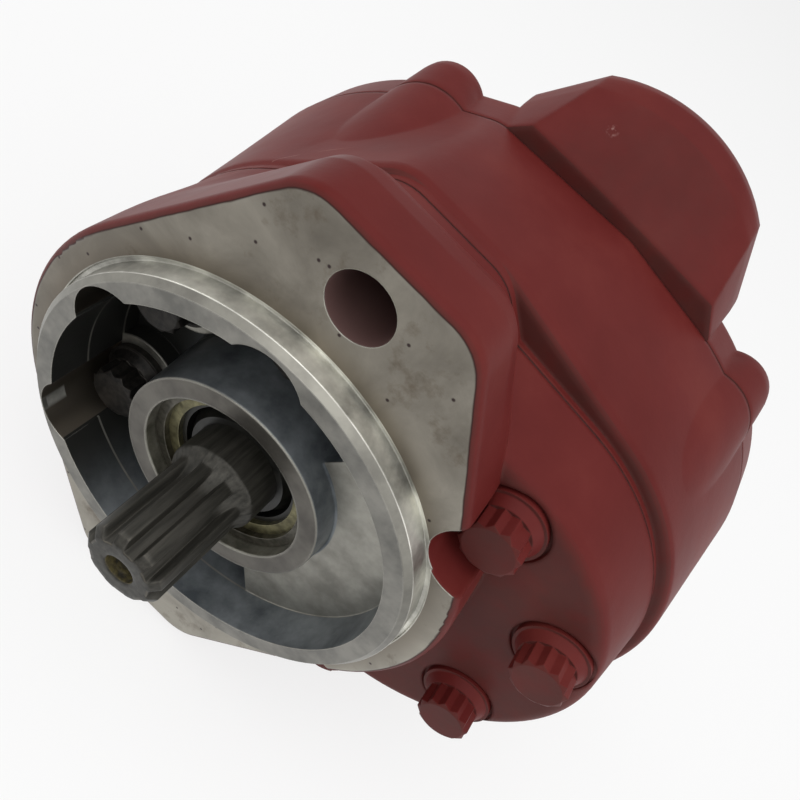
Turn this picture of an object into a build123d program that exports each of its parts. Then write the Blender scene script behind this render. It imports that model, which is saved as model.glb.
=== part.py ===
# Hydraulic gear pump with a two-bolt mounting flange, a splined drive shaft and twelve-point cover bolts.
# Millimetres. The origin is the centre of the pilot on the mounting face. The shaft points along -Y,
# the two mounting holes lie on Z, and the driven gear lies beside the drive gear, towards +X.
from build123d import *
from math import acos, atan2, cos, pi, radians, sin, tan
import os

# Gears and the depths of the three castings, measured back from the mounting face
gear_spacing = 35.5
seat_depth = 12.0
cover_depth = 29.0
gasket_thickness = 0.4
gasket_inset = 0.15
housing_end = 65.0
rear_end = 77.0
port_face = 85.0

# Pilot and the cast hollow inside it
pilot_radius = 41.275
pilot_height = 4.8
pilot_chamfer = 1.2
relief_width = 0.9
relief_depth = 0.5
pilot_rim = 4.8
hollow_floor_depth = 4.0
hollow_deep_depth = 17.0
hollow_web_angle = 60.0
inner_seat_radius = 9.4

# Mounting flange: its machined face, and the rough casting that stands out round it
flange_land = 4.9
casting_margin = 1.6
mount_hole_spacing = 106.4
mount_hole_radius = 5.7
mount_hole_depth = 14.0
ear_margin = 8.4
ear_flat_half_width = 10.5
ear_corner_radius = 7.6
ear_back_depth = 9.0
cover_sections = 6

# Body radii about each gear axis, each as a step out from the front of the lobes
lobe_front_radius = 40.2
lobe_edge_radius = 3.0
cover_back_step_drive = 6.4
cover_back_step_driven = 3.4
root_rise = 6.0
root_flat_half_width = 7.5
root_corner_radius = 10.0
strip_end = 31.0
strip_tuck = 5.0
strip_taper = 0.3
ledge_root_step = 0.5
ledge_flat_half_width = 9.0
ledge_step_drive = 6.9
ledge_step_driven = 6.3
ledge_edge_radius = 2.0
ledge_sections = 4
housing_back_step_drive = 10.6
housing_back_step_driven = 11.1
rear_left_x = -8.0
rear_left_rise = 1.2
rear_right_x = 22.0
rear_right_rise = 2.3

# Seal boss and shaft seal
seal_boss_radius = 21.2
seal_boss_front = 1.1
seal_boss_draft = 1.2
seal_bore_radius = 17.2
seal_bore_depth = 12.0
ring_groove_depth = 1.1
ring_groove_back = 3.2
ring_thickness = 1.4
ring_width = 3.0
ring_gap_angle = 34.0
ring_eye_radius = 1.9
ring_eye_hole_radius = 0.9
ring_eye_turn = 4.0
seal_length = 7.0
seal_wall = 1.2
seal_case_mouth_radius = 13.2
seal_rubber_edge = 1.0
lip_setback = 0.6
lip_thickness = 1.4
lip_slope_length = 3.0
lip_clearance = 0.05

# Drive shaft
shaft_reach = 25.0
journal_radius = 9.0
journal_front = 2.6
spline_teeth = 9
spline_major_radius = 7.72
spline_root_radius = 6.1
spline_space_root_width = 1.9
spline_space_tip_width = 3.1
spline_cutter_radius = 9.0
shaft_chamfer = 1.3
centre_hole_radius = 2.9
centre_hole_depth = 6.0
shaft_end_gap = 0.5
bush_wall = 1.6
bush_length = 14.0
bush_clearance = 0.04

# Twelve-point cover bolts, placed round each gear axis
bolt_shank_radius = 4.0
bolt_hole_clearance = 0.3
bolt_end_inset = 8.3
bolt_end_angle = 28.65
bolt_side_inset = 9.0
bolt_side_angle = 83.9
spot_face_depth = 1.0
spot_face_radius = 8.1
bolt_flange_radius = 7.4
bolt_flange_rim = 1.4
bolt_flange_height = 3.2
bolt_head_height = 7.9
bolt_points = 12
bolt_point_radius = 5.6
bolt_valley_radius = 4.9
bolt_crown_radius = 4.7
bolt_crown_angle = 30.0
bolt_cone_inset = 0.6
bolt_reach_in_rear = 6.5

# Dowel pins that line the castings up, one at each end of both joints
dowel_radius = 3.0
dowel_hole_clearance = 0.02
dowel_length = 14.0
dowel_end_gap = 0.5
dowel_inset = 3.2

# Lugs that grow out of the body towards their rear faces
lug_foot_angle = 60.0
lug_start = 36.0
lug_full = 73.0
lug_foot_radius = 26.0
lug_radius = 8.1
lug_inset_drive = 27.2
lug_inset_driven = 28.1
lug_inset_z = 9.4
lug_edge_radius = 2.0
lug_hole_radius = 3.4
lug_hole_depth = 8.0

# Rear cover with the hump round its inlet, and the two ports
hump_foot_half_width = 28.5
hump_foot_drop = 0.3
hump_wall_half_width = 23.6
hump_wall_rise = 5.0
hump_wall_crown = 0.3
hump_brow_depth = 77.5
hump_brow_share = 0.86
crest_depth = 81.5
crest_half_width = 29.4
crest_foot_rise = 1.2
crest_corner_half_width = 20.4
crest_corner_rise = 14.5
crest_rise = 20.7
rear_edge_radius = 1.5
port_edge_radius = 1.5
inlet_z = 39.0
inlet_bore_radius = 19.6
inlet_bore_depth = 12.0
outlet_z = 27.0
outlet_boss_radius = 24.0
outlet_bore_radius = 15.6
outlet_bore_depth = 16.0
passage_radius = 8.0
passage_z = 27.0
passage_front = 69.0

middle_x = gear_spacing / 2
hollow_radius = pilot_radius - pilot_rim
flange_radius = pilot_radius + flange_land
flange_half_height = mount_hole_spacing / 2 + ear_margin
cover_back_radius_drive = lobe_front_radius + cover_back_step_drive
cover_back_radius_driven = lobe_front_radius + cover_back_step_driven
housing_back_radius_drive = lobe_front_radius + housing_back_step_drive
housing_back_radius_driven = lobe_front_radius + housing_back_step_driven
root_half_height = cover_back_radius_drive + root_rise
bolt_seat = seat_depth + spot_face_depth
housing_start = cover_depth + gasket_thickness
rear_start = housing_end + gasket_thickness
bolt_end = rear_start + bolt_reach_in_rear
shaft_depth = cover_depth - shaft_end_gap
bolt_hole_radius = bolt_shank_radius + bolt_hole_clearance
bolt_rings = [
    (lobe_front_radius - bolt_end_inset, radians(bolt_end_angle)),
    (lobe_front_radius - bolt_side_inset, radians(bolt_side_angle)),
]
bolt_places = [
    (middle_x + side * (middle_x + radius * cos(angle)), level * radius * sin(angle))
    for radius, angle in bolt_rings
    for side in (-1, 1)
    for level in (-1, 1)
]
dowel_reach = lobe_front_radius - dowel_inset
dowel_ends = [-dowel_reach, gear_spacing + dowel_reach]
lug_foot_distance = cover_back_radius_drive - lug_foot_radius
lug_reach = {
    -1: housing_back_radius_drive - lug_inset_drive,
    1: housing_back_radius_driven - lug_inset_driven,
}
lug_z = housing_back_radius_drive - lug_inset_z
lug_corners = [(side, level) for side in (-1, 1) for level in (-1, 1)]
overcut = 1.0
back = (0, 1, 0)


def between(first, last, share):
    return first + (last - first) * share


def at_depth(y):
    """Sketch plane parallel to the mounting face, with X and Z as its own two axes."""
    return Plane(origin=(0, y, 0), x_dir=(1, 0, 0), z_dir=(0, -1, 0))


def belt_outline(circles):
    """Face inside a belt drawn tight round circles (x, z, radius) listed anticlockwise."""
    count = len(circles)
    normals = []
    for index, (x, z, radius) in enumerate(circles):
        next_x, next_z, next_radius = circles[(index + 1) % count]
        span = ((next_x - x) ** 2 + (next_z - z) ** 2) ** 0.5
        heading = atan2(next_z - z, next_x - x)
        normals.append(heading - acos((radius - next_radius) / span))
    edges = []
    for index, (x, z, radius) in enumerate(circles):
        first = normals[index - 1]
        turn = (normals[index] - first) % (2 * pi)
        arc = [
            (x + radius * cos(angle), z + radius * sin(angle))
            for angle in (first, first + turn / 2, first + turn)
        ]
        next_x, next_z, next_radius = circles[(index + 1) % count]
        line_end = (next_x + next_radius * cos(normals[index]), next_z + next_radius * sin(normals[index]))
        edges += [ThreePointArc(*arc), Line(arc[2], line_end)]
    return make_face(edges)


def gear_pair_outline(radius_drive, radius_driven):
    return belt_outline([(0, 0, radius_drive), (gear_spacing, 0, radius_driven)])


def eared_outline(half_height, flat_half_width, corner_radius, drum_radius):
    corner_z = half_height - corner_radius
    return belt_outline([
        (-flat_half_width, -corner_z, corner_radius),
        (flat_half_width, -corner_z, corner_radius),
        (0, 0, drum_radius),
        (flat_half_width, corner_z, corner_radius),
        (-flat_half_width, corner_z, corner_radius),
        (0, 0, drum_radius),
    ])


def body_outline(left, right, radius_drive, radius_driven, inset=0.0):
    """Belt round both gears and a left and a right corner (x, half height) above and below them."""
    (left_x, left_top), (right_x, right_top) = left, right
    left_z = left_top - root_corner_radius
    right_z = right_top - root_corner_radius
    corner_radius = root_corner_radius - inset
    return belt_outline([
        (left_x, -left_z, corner_radius),
        (right_x, -right_z, corner_radius),
        (gear_spacing, 0, radius_driven - inset),
        (right_x, right_z, corner_radius),
        (left_x, left_z, corner_radius),
        (0, 0, radius_drive - inset),
    ])


def ledge_outline(inset):
    top = root_half_height + ledge_root_step
    radius_drive = lobe_front_radius + ledge_step_drive
    radius_driven = lobe_front_radius + ledge_step_driven
    left = (-ledge_flat_half_width, top)
    right = (ledge_flat_half_width, top)
    return body_outline(left, right, radius_drive, radius_driven, inset)


def rear_outline(inset=0.0):
    """Outline at the rear joint, where the ear roots have spread out into a crowned top."""
    left = (rear_left_x, housing_back_radius_drive + rear_left_rise)
    right = (rear_right_x, housing_back_radius_driven + rear_right_rise)
    return body_outline(left, right, housing_back_radius_drive, housing_back_radius_driven, inset)


def disc(radius, start, end, x=0.0, z=0.0):
    """Cylinder along the shaft's direction between two depths."""
    return extrude(at_depth(start) * Pos(x, z) * Circle(radius), end - start, dir=back)


def slab(outline, start, end):
    return extrude(at_depth(start) * outline, end - start, dir=back)


def blend(first, start, second, end):
    """Ruled casting wall from one outline to the next."""
    return loft([at_depth(start) * first, at_depth(end) * second], ruled=True)


def bolt_holes(radius, start, end):
    return [disc(radius, start, end, x, z) for x, z in bolt_places]


def dowel_holes(joint):
    reach = dowel_length / 2 + dowel_end_gap
    radius = dowel_radius + dowel_hole_clearance
    return [disc(radius, joint - reach, joint + reach, x) for x in dowel_ends]


def ears_and_drum(share):
    """Section of the front cover's casting, from the flange (0) to the joint (1)."""
    return eared_outline(
        between(flange_half_height + casting_margin, root_half_height, share),
        between(ear_flat_half_width, root_flat_half_width, share),
        between(ear_corner_radius + casting_margin, root_corner_radius, share),
        between(flange_radius + casting_margin, cover_back_radius_drive, share),
    )


def flange_casting():
    """Flange with a rounded rim, running down in a smooth curve to the roots of the ears."""
    rim = slab(ears_and_drum(0), 0, ear_back_depth)
    rim = fillet(rim.edges().group_by(Axis.Y)[0], casting_margin)
    sections = []
    for index in range(cover_sections + 1):
        share = index / cover_sections
        drop = (1 - cos(pi * share)) / 2
        sections.append(at_depth(between(ear_back_depth, cover_depth, share)) * ears_and_drum(drop))
    return rim + loft(sections, ruled=True)


def lobes():
    """Body round the two gears, with a soft edge at its front."""
    front = gear_pair_outline(lobe_front_radius, lobe_front_radius)
    rear = gear_pair_outline(cover_back_radius_drive, cover_back_radius_driven)
    body = blend(front, seat_depth, rear, cover_depth)
    return fillet(body.edges().group_by(Axis.Y)[0], lobe_edge_radius)


def front_cover():
    body = flange_casting() + lobes()
    body += pilot()
    body -= pilot_hollow()
    body += seal_boss()
    body -= disc(pilot_radius + relief_width, 0, relief_depth) - disc(pilot_radius, 0, relief_depth)
    body -= disc(seal_bore_radius, -seal_boss_front - overcut, seal_bore_depth)
    groove_front = ring_groove_back - ring_thickness
    body -= disc(seal_bore_radius + ring_groove_depth, groove_front, ring_groove_back)
    body -= disc(journal_radius + bush_wall, seal_bore_depth, cover_depth)
    for hole in bolt_holes(spot_face_radius, -pilot_height, bolt_seat):
        body -= hole
    for hole in bolt_holes(bolt_hole_radius, bolt_seat - overcut, cover_depth):
        body -= hole
    for hole in dowel_holes(cover_depth):
        body -= hole
    for side in (-1, 1):
        body -= disc(mount_hole_radius, 0, mount_hole_depth, 0, side * mount_hole_spacing / 2)
    return body


def pilot():
    """Raised round spigot that centres the pump, with a lead-in."""
    body = disc(pilot_radius, -pilot_height, relief_depth)
    return chamfer(body.edges().group_by(Axis.Y)[0], pilot_chamfer)


def pilot_hollow():
    """Cast hollow between the pilot rim and the seal boss, deeper away from the driven gear."""
    shallow = disc(hollow_radius, -pilot_height, hollow_floor_depth)
    deep = disc(hollow_radius, -pilot_height, hollow_deep_depth)
    reach = 2 * hollow_radius
    edge_z = reach * tan(radians(hollow_web_angle))
    web = make_face(Polyline((0, 0), (reach, -edge_z), (reach, edge_z), close=True))
    for seat in bolt_holes(inner_seat_radius, bolt_seat, hollow_deep_depth):
        deep -= seat
    return shallow + (deep - slab(web, -pilot_height, hollow_deep_depth))


def seal_boss():
    front = Circle(seal_boss_radius)
    foot = Circle(seal_boss_radius + seal_boss_draft)
    return blend(front, -seal_boss_front, foot, hollow_deep_depth)


def front_joint(inset, start, end, taper):
    """Piece with the front cover's rear outline, which shrinks a little towards its end."""
    ends = []
    for less in (inset, inset + taper):
        ears = eared_outline(
            root_half_height - less,
            root_flat_half_width,
            root_corner_radius - less,
            cover_back_radius_drive - less,
        )
        pair = gear_pair_outline(cover_back_radius_drive - less, cover_back_radius_driven - less)
        ends.append((ears, pair))
    (first_ears, first_pair), (last_ears, last_pair) = ends
    return blend(first_ears, start, last_ears, end) + blend(first_pair, start, last_pair, end)


def with_joint_holes(body, start, end, joint):
    for hole in bolt_holes(bolt_hole_radius, start, end) + dowel_holes(joint):
        body -= hole
    return body


def front_gasket():
    """Thin joint seal that shows as a line between two castings."""
    body = front_joint(gasket_inset, cover_depth, housing_start, 0)
    return with_joint_holes(body, cover_depth, housing_start, cover_depth)


def rear_gasket():
    body = slab(rear_outline(gasket_inset), housing_end, rear_start)
    return with_joint_holes(body, housing_end, rear_start, housing_end)


def housing_wall():
    """Wall that starts with a rounded ledge and widens to the rear joint."""
    sections = []
    for index in range(ledge_sections + 1):
        angle = pi / 2 * index / ledge_sections
        inset = ledge_edge_radius * (1 - sin(angle))
        depth = strip_end + ledge_edge_radius * (1 - cos(angle))
        sections.append(at_depth(depth) * ledge_outline(inset))
    return loft(sections + [at_depth(housing_end) * rear_outline()], ruled=True)


def gear_housing():
    """Casting that starts with the cover's outline and steps out over its ledge."""
    body = housing_wall() + front_joint(0, housing_start, strip_end + strip_tuck, strip_taper)
    for side, level in lug_corners:
        body += lug(side, level, lug_start, housing_end)
    body = with_joint_holes(body, housing_start, housing_end, cover_depth)
    for hole in dowel_holes(housing_end):
        body -= hole
    return body


def lug_section(side, level, depth):
    """Circle inside the body at the lug's foot, which moves out and gets smaller towards the rear."""
    share = min((depth - lug_start) / (lug_full - lug_start), 1)
    foot_angle = radians(lug_foot_angle)
    reach = between(lug_foot_distance * cos(foot_angle), lug_reach[side], share)
    z = between(lug_foot_distance * sin(foot_angle), lug_z, share)
    radius = between(lug_foot_radius, lug_radius, share)
    return Pos(middle_x + side * (middle_x + reach), level * z) * Circle(radius)


def lug(side, level, start, end):
    return blend(lug_section(side, level, start), start, lug_section(side, level, end), end)


def hump_section(share):
    """Section of the casting round the inlet, from its upright wall (0) to its crest (1)."""
    body_top = housing_back_radius_drive
    foot_x = between(hump_foot_half_width, crest_half_width, share)
    foot_z = body_top + between(-hump_foot_drop, crest_foot_rise, share)
    corner_x = between(hump_wall_half_width, crest_corner_half_width, share)
    corner_z = body_top + between(hump_wall_rise, crest_corner_rise, share)
    top_z = body_top + between(hump_wall_rise + hump_wall_crown, crest_rise, share)
    right = Polyline((corner_x, corner_z), (foot_x, foot_z), (foot_x, inlet_z))
    left = Polyline((-foot_x, inlet_z), (-foot_x, foot_z), (-corner_x, corner_z))
    top = ThreePointArc((-corner_x, corner_z), (0, top_z), (corner_x, corner_z))
    underside = ThreePointArc((foot_x, inlet_z), (0, inlet_z - foot_x), (-foot_x, inlet_z))
    return Pos(middle_x, 0) * make_face(right.edges() + underside.edges() + left.edges() + top.edges())


def inlet_hump():
    """Boss of the inlet port, which rises over the body behind an upright wall and a sloping top."""
    stations = ((rear_start, 0), (hump_brow_depth, hump_brow_share), (crest_depth, 1), (port_face, 1))
    body = loft([at_depth(depth) * hump_section(share) for depth, share in stations], ruled=True)
    return fillet(body.edges().group_by(Axis.Y)[-1], port_edge_radius)


def outlet_boss():
    body = disc(outlet_boss_radius, rear_start, port_face, middle_x, -outlet_z)
    return fillet(body.edges().group_by(Axis.Y)[-1], port_edge_radius)


def rear_cover():
    body = slab(rear_outline(), rear_start, rear_end)
    body = fillet(body.edges().group_by(Axis.Y)[-1], rear_edge_radius)
    for side, level in lug_corners:
        end = slab(lug_section(side, level, lug_full), lug_full, rear_end)
        end = fillet(end.edges().group_by(Axis.Y)[-1], lug_edge_radius)
        body += lug(side, level, rear_start, lug_full) + end
        hole = lug_section(side, level, lug_full).center()
        body -= disc(lug_hole_radius, rear_end - lug_hole_depth, rear_end, hole.X, hole.Y)
    body += inlet_hump() + outlet_boss()
    for hole in bolt_holes(bolt_shank_radius, rear_start, bolt_end):
        body -= hole
    for hole in dowel_holes(housing_end):
        body -= hole
    for level in (-1, 1):
        body -= disc(passage_radius, passage_front, port_face, middle_x, level * passage_z)
    body -= disc(inlet_bore_radius, port_face - inlet_bore_depth, port_face, middle_x, inlet_z)
    body -= disc(outlet_bore_radius, port_face - outlet_bore_depth, port_face, middle_x, -outlet_z)
    return body


def twelve_point_outline():
    """Star of twelve points, as two hexagon heads turned by half a point."""
    points = []
    for index in range(2 * bolt_points):
        radius = bolt_point_radius if index % 2 == 0 else bolt_valley_radius
        angle = index * pi / bolt_points
        points.append((radius * cos(angle), radius * sin(angle)))
    return make_face(Polyline(*points, close=True))


def cover_bolt(x, z):
    top = bolt_seat - bolt_head_height
    rim_front = bolt_seat - bolt_flange_rim
    rim = disc(bolt_flange_radius, rim_front, bolt_seat, x, z)
    cone = blend(
        Pos(x, z) * Circle(bolt_point_radius),
        bolt_seat - bolt_flange_height,
        Pos(x, z) * Circle(bolt_flange_radius - bolt_cone_inset),
        rim_front,
    )
    head = slab(Pos(x, z) * twelve_point_outline(), top, rim_front)
    crown_foot = bolt_crown_radius + (rim_front - top) / tan(radians(bolt_crown_angle))
    crown = blend(Pos(x, z) * Circle(bolt_crown_radius), top, Pos(x, z) * Circle(crown_foot), rim_front)
    shank = disc(bolt_shank_radius, bolt_seat, bolt_end, x, z)
    return rim + cone + (head & crown) + shank


def spline_space():
    """One gap between two teeth, with the round run-out that the cutter leaves."""
    tip = spline_major_radius + overcut
    half_root = spline_space_root_width / 2
    half_tip = spline_space_tip_width / 2
    section = make_face(Polyline(
        (-half_root, spline_root_radius),
        (half_root, spline_root_radius),
        (half_tip, tip),
        (-half_tip, tip),
        close=True,
    ))
    centre = spline_root_radius + spline_cutter_radius
    rise_angle = acos((centre - spline_major_radius) / spline_cutter_radius)
    straight_end = -journal_front - spline_cutter_radius * sin(rise_angle)
    quarter_turn = 90
    wheel_axis = Axis((0, straight_end, centre), (1, 0, 0))
    run_out = revolve(at_depth(straight_end) * section, wheel_axis, quarter_turn)
    return slab(section, -shaft_reach, straight_end) + run_out


def drive_shaft():
    body = disc(spline_major_radius, -shaft_reach, -journal_front)
    body = chamfer(body.edges().group_by(Axis.Y)[0], shaft_chamfer)
    for index in range(spline_teeth):
        body -= Rot(0, index * 360 / spline_teeth, 0) * spline_space()
    body += disc(journal_radius, -journal_front, shaft_depth)
    return body - disc(centre_hole_radius, -shaft_reach, -shaft_reach + centre_hole_depth)


def shaft_bush():
    start = seal_bore_depth
    body = disc(journal_radius + bush_wall, start, start + bush_length)
    return body - disc(journal_radius + bush_clearance, start, start + bush_length)


def seal_case():
    """Pressed steel can of the shaft seal, open towards the shaft."""
    end = ring_groove_back + seal_length
    body = disc(seal_bore_radius, ring_groove_back, end)
    body -= disc(seal_bore_radius - seal_wall, ring_groove_back + seal_wall, end)
    return body - disc(seal_case_mouth_radius, ring_groove_back, end)


def seal_lip():
    """Rubber lining of the can, with a lip that leans forward round the shaft."""
    front = ring_groove_back + seal_wall
    end = ring_groove_back + seal_length
    outer = seal_bore_radius - seal_wall
    inner = seal_case_mouth_radius - seal_rubber_edge
    shaft = journal_radius + lip_clearance
    lip_front = ring_groove_back + lip_setback
    section = Polyline(
        (shaft, lip_front),
        (shaft + lip_thickness, lip_front),
        (inner, lip_front + lip_slope_length),
        (inner, front),
        (outer, front),
        (outer, end),
        (shaft, end),
        close=True,
    )
    return revolve(Plane.XY * make_face(section), Axis.Y)


def retaining_ring():
    """Internal snap ring with two eyes beside its gap."""
    front = ring_groove_back - ring_thickness
    outer = seal_bore_radius + ring_groove_depth
    eye_distance = outer - ring_width
    body = disc(outer, front, ring_groove_back) - disc(eye_distance, front, ring_groove_back)
    reach = 2 * outer
    half_gap = reach * tan(radians(ring_gap_angle / 2))
    gap = make_face(Polyline((0, 0), (-half_gap, -reach), (half_gap, -reach), close=True))
    body -= slab(gap, front, ring_groove_back)
    for side in (-1, 1):
        angle = radians(-90 + side * (ring_gap_angle / 2 + ring_eye_turn))
        eye = (eye_distance * cos(angle), eye_distance * sin(angle))
        body += disc(ring_eye_radius, front, ring_groove_back, *eye)
        body -= disc(ring_eye_hole_radius, front, ring_groove_back, *eye)
    return body


def dowel_pin(joint, x):
    return disc(dowel_radius, joint - dowel_length / 2, joint + dowel_length / 2, x)


pieces = {
    "front_cover": front_cover(),
    "front_gasket": front_gasket(),
    "gear_housing": gear_housing(),
    "rear_gasket": rear_gasket(),
    "rear_cover": rear_cover(),
    "drive_shaft": drive_shaft(),
    "shaft_bush": shaft_bush(),
    "seal_case": seal_case(),
    "seal_lip": seal_lip(),
    "retaining_ring": retaining_ring(),
}
for index, place in enumerate(bolt_places):
    pieces[f"cover_bolt_{index + 1}"] = cover_bolt(*place)
for index, x in enumerate(dowel_ends):
    pieces[f"front_dowel_{index + 1}"] = dowel_pin(cover_depth, x)
    pieces[f"rear_dowel_{index + 1}"] = dowel_pin(housing_end, x)

os.makedirs("parts", exist_ok=True)
for name, piece in pieces.items():
    export_step(piece, f"parts/{name}.step")
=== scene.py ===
import bpy
import numpy as np
from mathutils import Matrix, Vector


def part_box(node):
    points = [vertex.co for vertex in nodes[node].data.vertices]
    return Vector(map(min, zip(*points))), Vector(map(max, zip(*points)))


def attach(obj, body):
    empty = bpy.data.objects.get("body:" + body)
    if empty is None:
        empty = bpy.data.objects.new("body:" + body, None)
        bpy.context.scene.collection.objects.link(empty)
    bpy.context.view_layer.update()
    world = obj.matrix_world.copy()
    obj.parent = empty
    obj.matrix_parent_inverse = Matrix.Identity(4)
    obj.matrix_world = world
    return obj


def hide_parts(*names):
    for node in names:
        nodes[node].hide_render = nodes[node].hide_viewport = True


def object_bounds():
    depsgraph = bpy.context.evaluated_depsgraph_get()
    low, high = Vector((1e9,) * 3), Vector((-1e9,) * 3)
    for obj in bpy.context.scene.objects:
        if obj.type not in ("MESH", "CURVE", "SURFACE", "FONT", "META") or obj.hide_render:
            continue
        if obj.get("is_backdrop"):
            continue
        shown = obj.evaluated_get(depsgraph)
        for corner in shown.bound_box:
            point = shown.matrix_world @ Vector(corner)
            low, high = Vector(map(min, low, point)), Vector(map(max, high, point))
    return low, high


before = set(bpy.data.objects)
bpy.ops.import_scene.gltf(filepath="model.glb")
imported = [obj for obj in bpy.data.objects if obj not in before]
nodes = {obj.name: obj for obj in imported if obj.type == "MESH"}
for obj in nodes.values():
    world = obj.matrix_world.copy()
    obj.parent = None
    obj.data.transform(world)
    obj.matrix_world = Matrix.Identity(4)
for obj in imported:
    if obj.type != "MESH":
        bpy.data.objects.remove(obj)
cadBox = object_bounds()
print("frame loaded:", len(nodes), "nodes")

mm = 0.001

# Sizes of the pump that the finishes are placed by, in millimetres from the middle of the mounting face
pump = {
    "pilotRadius": 41.275,
    "reliefRadius": 42.4,   # outer edge of the shallow ring round the pilot's foot
    "hollowRadius": 36.475,
    "bossRadius": 21.2,
    "shaftReach": 25.0,
    "centreHoleRadius": 2.9,
    "gearMiddle": 17.75,
    "mountHoleZ": 53.2,
    "mountHoleRadius": 5.7,
    "mountHoleDepth": 14.0,
    "ports": {
        "inlet": {"x": 17.75, "z": 39.0, "radius": 19.6, "floor": 73.0},
        "inletPassage": {"x": 17.75, "z": 27.0, "radius": 8.0, "floor": 69.0},
        "outlet": {"x": 17.75, "z": -27.0, "radius": 15.6, "floor": 69.0},
    },
}


# Small helpers

def linearColour(hexText):
    # each sRGB channel over 0.04045 is ((c + 0.055) / 1.055) to the power 2.4
    channels = [int(hexText[i:i + 2], 16) / 255 for i in (1, 3, 5)]
    return (*[c / 12.92 if c <= 0.04045 else ((c + 0.055) / 1.055) ** 2.4 for c in channels], 1.0)


def addNode(tree, kind, settings=None, inputs=None, stops=None, out=0):
    # settings are the node's own options; an input is a value, a hex colour or another node's output;
    # stops fill a colour ramp; out picks the output that comes back, and None gives all of them
    node = tree.nodes.new(kind)
    for name, value in (settings or {}).items():
        setattr(node, name, value)
    for name, value in (inputs or {}).items():
        if isinstance(value, bpy.types.NodeSocket):
            tree.links.new(value, node.inputs[name])
        else:
            node.inputs[name].default_value = linearColour(value) if isinstance(value, str) else value
    for index, (position, colour) in enumerate(stops or []):
        ramp = node.color_ramp.elements
        stop = ramp[index] if index < 2 else ramp.new(position)
        stop.position = position
        stop.color = linearColour(colour)
    return node.outputs if out is None else node.outputs[out]


def newMaterial(name):
    material = bpy.data.materials.new(name)
    material.use_nodes = True
    material.node_tree.nodes.clear()
    return material, material.node_tree


def finishMaterial(tree, shader):
    surface = addNode(tree, "ShaderNodeBsdfPrincipled", {}, shader)
    addNode(tree, "ShaderNodeOutputMaterial", {}, {"Surface": surface}, out=None)


def coat(names, material):
    # gives CAD nodes their finish; their shapes stay as they are
    for name in names:
        mesh = nodes[name].data
        mesh.materials.clear()
        mesh.materials.append(material)


def lumps(sizeMm):
    # noise scale whose lumps are about sizeMm across
    return 1 / (sizeMm * mm)


def rise(edgeMm, softMm):
    # Map Range inputs that go from 0 to 1 as a length passes edgeMm
    return {"From Min": (edgeMm - softMm) * mm, "From Max": (edgeMm + softMm) * mm}


def awayFromAxis(tree, x, z):
    # square root of x^2 + z^2
    flat = addNode(tree, "ShaderNodeCombineXYZ", {}, {"X": x, "Z": z})
    return addNode(tree, "ShaderNodeVectorMath", {"operation": "LENGTH"}, {0: flat}, out="Value")


def placeOn(tree):
    # Object coordinates in metres, each axis on its own, and the distance from the shaft's axis
    spot = addNode(tree, "ShaderNodeTexCoord", out="Object")
    x, y, z = addNode(tree, "ShaderNodeSeparateXYZ", {}, {"Vector": spot}, out=None)
    return {"spot": spot, "x": x, "y": y, "z": z, "radius": awayFromAxis(tree, x, z)}


def softEdges(tree, radius):
    # rounded normal over sharp edges, and a mask that is 1 on the edges themselves
    rounded = addNode(tree, "ShaderNodeBevel", {"samples": 6}, {"Radius": radius})
    true = addNode(tree, "ShaderNodeNewGeometry", out="True Normal")
    alike = addNode(tree, "ShaderNodeVectorMath", {"operation": "DOT_PRODUCT"}, {0: rounded, 1: true},
                    out="Value")
    edge = addNode(tree, "ShaderNodeMapRange", {"interpolation_type": "SMOOTHSTEP"}, {
        "Value": alike, "From Min": 0.99, "From Max": 0.8})
    return rounded, edge


# Red enamel

enamelLook = {
    "colour": "#622422",
    "thin": "#6b2d29",
    "thick": "#5b1f1d",
    "edge": "#71322e",
    "edgeShare": 0.35,      # how much of the paler colour an edge gets
    "roughness": 0.44,
    "roughSpread": 0.16,
    "gloss": 0.08,          # specular level: the enamel has gone dull
    "patchMm": 24,          # where the spray lies thinner and thicker
    "sandMm": 0.8,          # sand grain of the mould under the paint
    "sandHeightMm": 0.02,
    "waveMm": 7,            # slow unevenness of the cast skin
    "waveHeightMm": 0.10,
    "edgeRoundMm": 1.1,
    "boltRoundMm": 0.35,
    "frontShade": "#453531",      # painted shade, grey-brown, on what faces the shaft's end
    "frontShadeShare": 0.5,
    "frontShadeMm": 5,
}
scratchLook = {
    "floorZ": 27.0,
    "bendFrom": 17.5,
    "bendRate": 0.029,
    "halfWidthMm": 0.13,
    "fromY": 11.0,
    "toY": 39.5,
    "beyondX": -20.0,       # it lies on the drive side alone
    "breakMm": 2.5,         # spacing of the breaks in it
    "share": 0.6,
    "colour": "#9a726c",
}
chipLook = {"place": (5.3, 72.3, 62.7), "reachMm": 0.8, "softMm": 0.6, "flakeMm": 0.9, "colour": "#a17a74"}


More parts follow.
